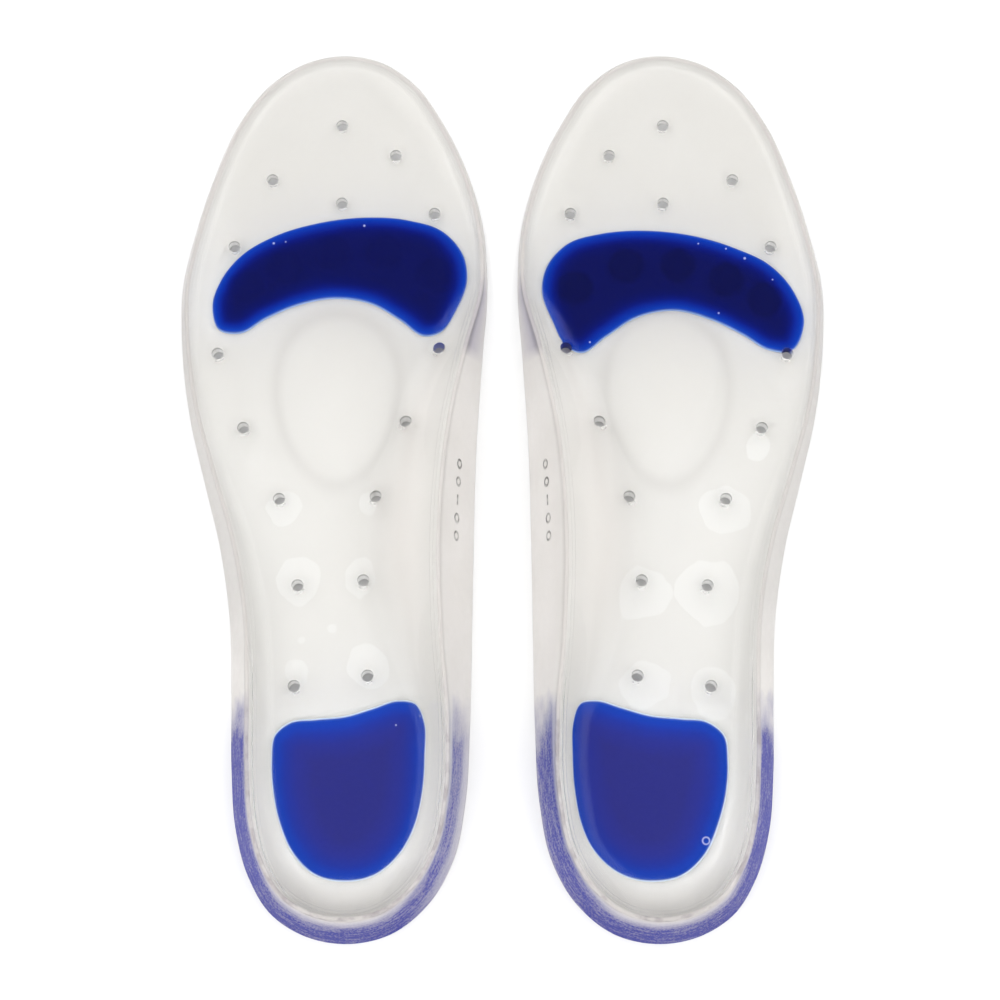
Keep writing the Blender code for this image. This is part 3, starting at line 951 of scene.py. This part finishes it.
def wall_gel(name, side):
    """Side wall: fine matt grain of the mould, painted shade on the outer midfoot, under the
    lip, on the wedge and in the pips, and the pads' blue painted on round the heel and at the
    front of the arch.
    """
    n = gel_base(name, WALL_HAZE)
    out, forward, up = n.table_position()
    height = n.attribute("height")
    outer = n.spread(out, *OUTER_SIDE, 0.0, 1.0)
    streaks = n.noise(1.0, 3.0, 0.6, n.scaled((160.0, 160.0, 1300.0)))

    # Painted shade on the outer wall of the midfoot
    midfoot_shade = n.times(n.window(forward, *MIDFOOT_SPAN), outer, 0.6)
    colour = n.mix(midfoot_shade, n.cloud("wall"), MIDFOOT_PAINTED_SHADE)

    # Heel pad's blue painted on the wall round the heel, by height, ragged at its front
    ragged = n.math("ADD", forward, n.centred(n.noise(HEEL_RAGGED[0], 3.0), HEEL_RAGGED[1]))
    heel = n.spread(ragged, *HEEL_FRONT, 1.0, 0.0)
    outer_painted_blue = n.blend(n.spread(forward, *REAR_SPAN, 0.0, 1.0),
                         n.level(up, REAR_PAINTED_BLUE, BLUE_REACH), n.level(up, OUTER_PAINTED_BLUE, BLUE_REACH))
    band = n.blend(outer, n.level(up, INNER_PAINTED_BLUE[side], BLUE_REACH), outer_painted_blue)
    stipple = n.spread(n.noise(1500.0, 2.0), 0.38, 0.62, 0.88, 1.12)
    blue = n.times(heel, band, n.spread(streaks, 0.35, 0.6, 0.86, 1.12))
    colour = n.mix(n.math("MULTIPLY", blue, stipple, clamp=True), colour, HEEL_PAINTED_BLUE)

    # Forefoot pad's blue and painted shade on the wedge at the front of the arch wall
    inner = n.math("SUBTRACT", 1.0, outer)
    wedge = n.times(n.window(forward, *WEDGE_SPAN), inner)
    wedge_painted = n.times(wedge, n.spread(height, 0.0, 0.7, 0.1, 0.6))
    colour = n.mix(wedge_painted, colour, WEDGE_PAINTED_BLUE_SHADE)
    # Painted shadow line under the lip of the wedge
    wedge_shadow = n.times(wedge, n.window(height, *WEDGE_SHADOW_LINE_SPAN), 0.7)
    colour = n.mix(wedge_shadow, colour, WEDGE_PAINTED_SHADOW)

    # Painted shade just under the lip
    lip_shade = n.spread(height, 0.86, 0.93, 0.0, 0.55)
    colour = n.mix(lip_shade, colour, LIP_PAINTED_SHADE)
    # Dark streaks along the lip round the heel
    lip_streaks = n.times(lip_shade, heel, n.spread(streaks, 0.45, 0.6, 0.1, 1.3))
    colour = n.mix(lip_streaks, colour, LIP_STREAK_TONE)

    # Painted shade in the moulded pips, with their real relief in the bump
    pips = n.times(n.pips(forward, up), n.math("LESS_THAN", out, PIP_REACH))
    patchy = n.spread(n.noise(420.0, 2.0), 0.4, 0.6, 0.45, 0.95)
    colour = n.mix(n.times(pips, patchy), colour, PIP_PAINTED_SHADE)

    n.set(Base_Color=n.outside_only(colour), Specular_IOR_Level=0.1,
          Roughness=n.roughness("wall"),
          Normal=n.bump(pips, PIP_DEPTH, 1.0, n.relief("wall")))
    return n.owner


def vent_gel(name, side):
    """Vent walls: left matt by the pins that form them, with painted shade in a ring round the
    top, and the pads' blue painted on where a pad runs into them.
    """
    n = gel_base(name, VENT_HAZE)
    out, forward, _ = n.table_position()
    # Painted shade in a ring round the top of the vent
    ring = n.level(n.attribute("height"), VENT_RING, 1.0)
    colour = n.mix(ring, n.cloud("vent"), VENT_RING_PAINTED_SHADE)
    # Pads' blue painted on the vents that a pad runs into, as a reflection
    blue = n.window(forward, *VENT_PAINTED_BLUE_SPAN)
    if side == "left":
        blue = n.times(blue, n.math("LESS_THAN", out, 50.0))
    colour = n.mix(n.times(blue, 0.95), colour, VENT_PAINTED_BLUE)
    n.set(Base_Color=n.outside_only(colour), Specular_IOR_Level=0.2,
          Roughness=n.roughness("vent"), Normal=n.relief("vent"))
    return n.owner


def sole_gel(name, side):
    """Satin underside with the clearer patches where it has wetted out, painted shade toward the
    front and at the back of the heel, and painted light under the arch, along the outer forefoot
    edge and under the heel.
    """
    n = gel_base(name, SOLE_HAZE)
    out, forward, _ = n.table_position()
    # Painted shade toward the front
    front_shade = n.spread(forward, 140.0, 200.0, 0.0, 1.0)
    colour = n.mix(front_shade, n.cloud("sole"), SOLE_FRONT_PAINTED_SHADE)
    # Painted light under the arch and along the outer forefoot edge
    arch = n.times(n.window(forward, *SOLE_ARCH_SPAN),
                   n.spread(out, 24.0, 34.0, 1.0, 0.0))
    side_edge_light = n.times(n.spread(out, 84.0, 94.0, 0.0, 0.2),
                        n.spread(forward, 230.0, 250.0, 1.0, 0.0))
    painted_light = n.times(n.math("MAXIMUM", arch, side_edge_light), 0.8)
    colour = n.mix(painted_light, colour, SOLE_PAINTED_LIGHT)
    # Painted light under the heel
    colour = n.mix(n.spread(forward, 30.0, 75.0, 1.0, 0.0), colour, SOLE_HEEL_PAINTED_LIGHT)
    # Painted shade at the back of the heel
    colour = n.mix(n.spread(forward, 8.0, 24.0, 1.0, 0.0), colour, SOLE_REAR_PAINTED_SHADE)

    wobble = n.centred(n.noise(75.0, 2.0), 9.0 * MM)
    patches = 0.0
    for x, y, radius in WET_PATCHES[side]:
        gap = n.math("SUBTRACT", n.distance(table_point(side, x, y, 0.0)), radius * MM)
        patch = n.spread(n.math("ADD", gap, wobble), -0.2 * MM, 0.2 * MM, 1.0, 0.0)
        patches = n.math("MAXIMUM", patches, patch)
    n.set(Base_Color=n.mix(patches, colour, WET_TONE),
          Roughness=n.roughness("sole"), Normal=n.relief("sole"))
    return n.owner


def skin_gel(name):
    """Thin clear skin below the blue castings."""
    n = gel_base(name)
    n.set(Base_Color=n.cloud("skin"), Roughness=n.roughness("skin"), Normal=n.relief("skin"))
    return n.owner


def blue_gel(name, side, bubbles, tones, disc_depth):
    """Blue gel, paler where it thins out at the edge. Tones: (distance in mm, colour)."""
    n = new_material(name)
    edge = n.attribute("edge_mm")
    wander = n.centred(n.noise(30.0, 2.0), n.spread(edge, 0.6, 5.0, 0.0, 2.5))
    reach = tones[-1][0]
    inset = n.math("DIVIDE", n.math("ADD", edge, wander), reach, clamp=True)
    colour = n.ramp(inset, [(distance / reach, tone) for distance, tone in tones])
    colour = n.mix(n.times(n.attribute("disc"), disc_depth), colour, DISC_TONE)
    speckle = n.spread(n.noise(900.0, 2.0), 0.35, 0.65, 0.98, 1.03)
    colour = n.mix(1.0, colour, n.grey(speckle), "MULTIPLY")
    for x, y, radius in bubbles:
        out = n.flat_distance(table_point(side, x, y, 0.0))
        if radius > HOLLOW_BUBBLE:
            spot = n.spread(n.gap(out, 0.8 * radius * MM), 0.1 * MM, 0.35 * MM, 0.7, 0.0)
        else:
            spot = n.spread(out, radius * MM, radius * MM * 0.5, 0.0, 0.75)
        colour = n.mix(spot, colour, BUBBLE_TONE)
    n.set(Base_Color=colour, Metallic=0.0, Specular_IOR_Level=0.0,
          Roughness=n.roughness("blue"), Normal=n.relief("blue"))
    return n.owner


# ---------------------------------------------------------------- the object

def build(side):
    """One insole: clear body and its two pads."""
    clear = [None] * 5
    clear[FOOTBED_SLOT] = footbed_gel(side + "_footbed_gel")
    clear[WALL_SLOT] = wall_gel(side + "_wall_gel", side)
    clear[SOLE_SLOT] = sole_gel(side + "_sole_gel", side)
    clear[SKIN_SLOT] = skin_gel(side + "_skin_gel")
    clear[VENT_SLOT] = vent_gel(side + "_vent_gel", side)
    body = gel_body(side, clear)
    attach(body, side + "_insole")
    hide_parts(side + "_gel_body")

    forefoot_gel = blue_gel(side + "_forefoot_blue", side, BUBBLES[side + "_forefoot"],
                            FOREFOOT_TONES, DISC_DEPTH[side])
    forefoot = blue_pad(side, "forefoot", FOREFOOT_PADS[side], FOREFOOT_THICKNESS, DISCS,
                        [forefoot_gel])
    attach(forefoot, side + "_insole")
    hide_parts(side + "_forefoot_pad")

    heel_gel = blue_gel(side + "_heel_blue", side, BUBBLES[side + "_heel"], HEEL_TONES, 0.0)
    heel = blue_pad(side, "heel", HEEL_PADS[side], HEEL_THICKNESS, [], [heel_gel])
    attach(heel, side + "_insole")
    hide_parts(side + "_heel_pad")


# ---------------------------------------------------------------- studio

FLOOR_SIZE = 6.0
FLOOR_Z = -0.0004
FLOOR_GREY = 0.62
# Sky: sine of the angle above the horizon, brightness
SKY = [(0.0, 0.9), (0.1, 0.8), (0.2, 0.36), (0.35, 0.45), (0.62, 1.4), (1.0, 1.57)]
SKY_STRENGTH = 2.06
SCREEN_LEVEL = 0.1              # dark screen overhead that keeps glare off the gel
SCREEN_EDGE = (0.88, 0.972)     # cosine of the angle from its middle: outside, inside
CAMERA_TILT = radians(13.0)
CAMERA_DISTANCE = 0.90
CAMERA_LENS = 103.4
CAMERA_SENSOR = 36.0
CAMERA_SHIFT = (-0.0025, -0.006)
LOOK_AT = (0.0, -0.00305, 0.0)


def studio():
    """Pale floor, soft surrounding light and the camera."""
    bpy.ops.mesh.primitive_plane_add(size=FLOOR_SIZE, location=(0.0, 0.0, FLOOR_Z))
    floor = bpy.context.object
    floor.name = "studio_floor"
    n = new_material("studio_floor")
    n.set(Base_Color=(FLOOR_GREY, FLOOR_GREY, FLOOR_GREY, 1.0), Roughness=0.9,
          Specular_IOR_Level=0.0)
    floor.data.materials.append(n.owner)

    toward_camera = Vector((0.0, -np.sin(CAMERA_TILT), np.cos(CAMERA_TILT)))
    screen_middle = (0.0, np.sin(CAMERA_TILT), np.cos(CAMERA_TILT))
    n = Nodes(bpy.data.worlds.new("studio"), "Background", "Generated")
    bpy.context.scene.world = n.owner
    up = n.add("ShaderNodeSeparateXYZ", Vector=n.place).outputs["Z"]
    facing = n.add("ShaderNodeVectorMath", {"operation": "DOT_PRODUCT"})
    n.feed(facing, 0, n.place)
    n.feed(facing, 1, screen_middle)
    screen = n.add("ShaderNodeMapRange", {"interpolation_type": "SMOOTHSTEP"},
                   Value=facing.outputs["Value"],
                   From_Min=SCREEN_EDGE[0], From_Max=SCREEN_EDGE[1])
    dark = (SCREEN_LEVEL, SCREEN_LEVEL, SCREEN_LEVEL, 1.0)
    n.set(Color=n.mix(screen.outputs[0], n.ramp(up, greys(SKY)), dark), Strength=SKY_STRENGTH)

    camera_data = bpy.data.cameras.new("camera")
    camera_data.lens = CAMERA_LENS
    camera_data.sensor_width = CAMERA_SENSOR
    camera_data.shift_x, camera_data.shift_y = CAMERA_SHIFT
    camera_data.clip_start = 0.01
    camera = bpy.data.objects.new("camera", camera_data)
    bpy.context.scene.collection.objects.link(camera)
    camera.location = Vector(LOOK_AT) + toward_camera * CAMERA_DISTANCE
    camera.rotation_euler = (CAMERA_TILT, 0.0, 0.0)
    bpy.context.scene.camera = camera
    bpy.context.scene.view_settings.view_transform = "Standard"


for foot in ("left", "right"):
    build(foot)
studio()
